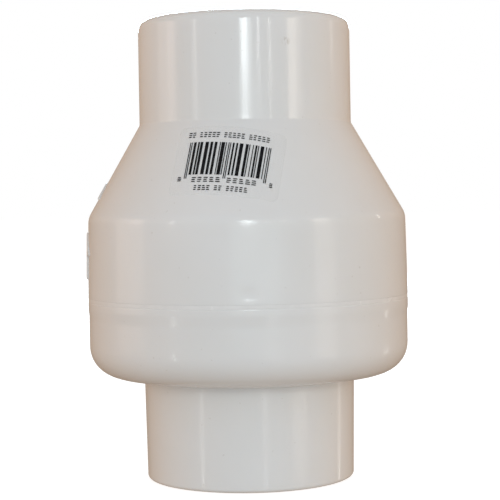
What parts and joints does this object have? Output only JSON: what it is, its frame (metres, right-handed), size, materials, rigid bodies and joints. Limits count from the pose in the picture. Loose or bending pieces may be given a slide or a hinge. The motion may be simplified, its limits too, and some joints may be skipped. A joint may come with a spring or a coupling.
{
  "type": "swing check valve",
  "caption": "In-line PVC swing check valve for solvent-weld pipe: two-part round casing, plain sockets and a hinged flapper on a soft seal inside.",
  "frame": {"origin": "centre of the inlet socket's rim, on which the valve stands", "axes": "+Z along the flow from inlet to outlet, hinge on the +Y side, hinge axis along X, label towards -Y"},
  "size_m": [0.1076, 0.1072, 0.153],
  "materials": {
    "casing_pvc": "gloss moulded white PVC",
    "cement": "dried solvent cement",
    "label_film": "clear self-adhesive film",
    "inner_pvc": "moulded white PVC, satin",
    "acetal": "natural acetal",
    "epdm": "black EPDM",
    "stainless": "turned stainless steel"
  },
  "bodies": {
    "casing": {"inlet_casing": "casing_pvc", "outlet_casing": "casing_pvc", "seam_cement_bead": "cement", "label_film": "label_film", "seat_ring": "inner_pvc", "seat_o_ring": "epdm", "seat_snap_ring": "stainless", "hinge_pin": "stainless", "pin_clip_left": "stainless", "pin_clip_right": "stainless"},
    "flapper": {"hinge_arm": "inner_pvc", "arm_bush_left": "acetal", "arm_bush_right": "acetal", "flapper_disc": "inner_pvc", "flapper_seal": "epdm", "seal_retainer": "inner_pvc", "bolt_seal_washer": "epdm", "flapper_bolt": "stainless", "flat_washer": "stainless", "lock_washer": "stainless", "flapper_nut": "stainless"}
  },
  "joints": [
    {"name": "flapper_swing", "type": "hinge", "parent": "casing", "child": "flapper", "pos_m": [0, 0.036, 0.051], "axis": [-1, 0, 0], "range_deg": [0, 75]}
  ]
}
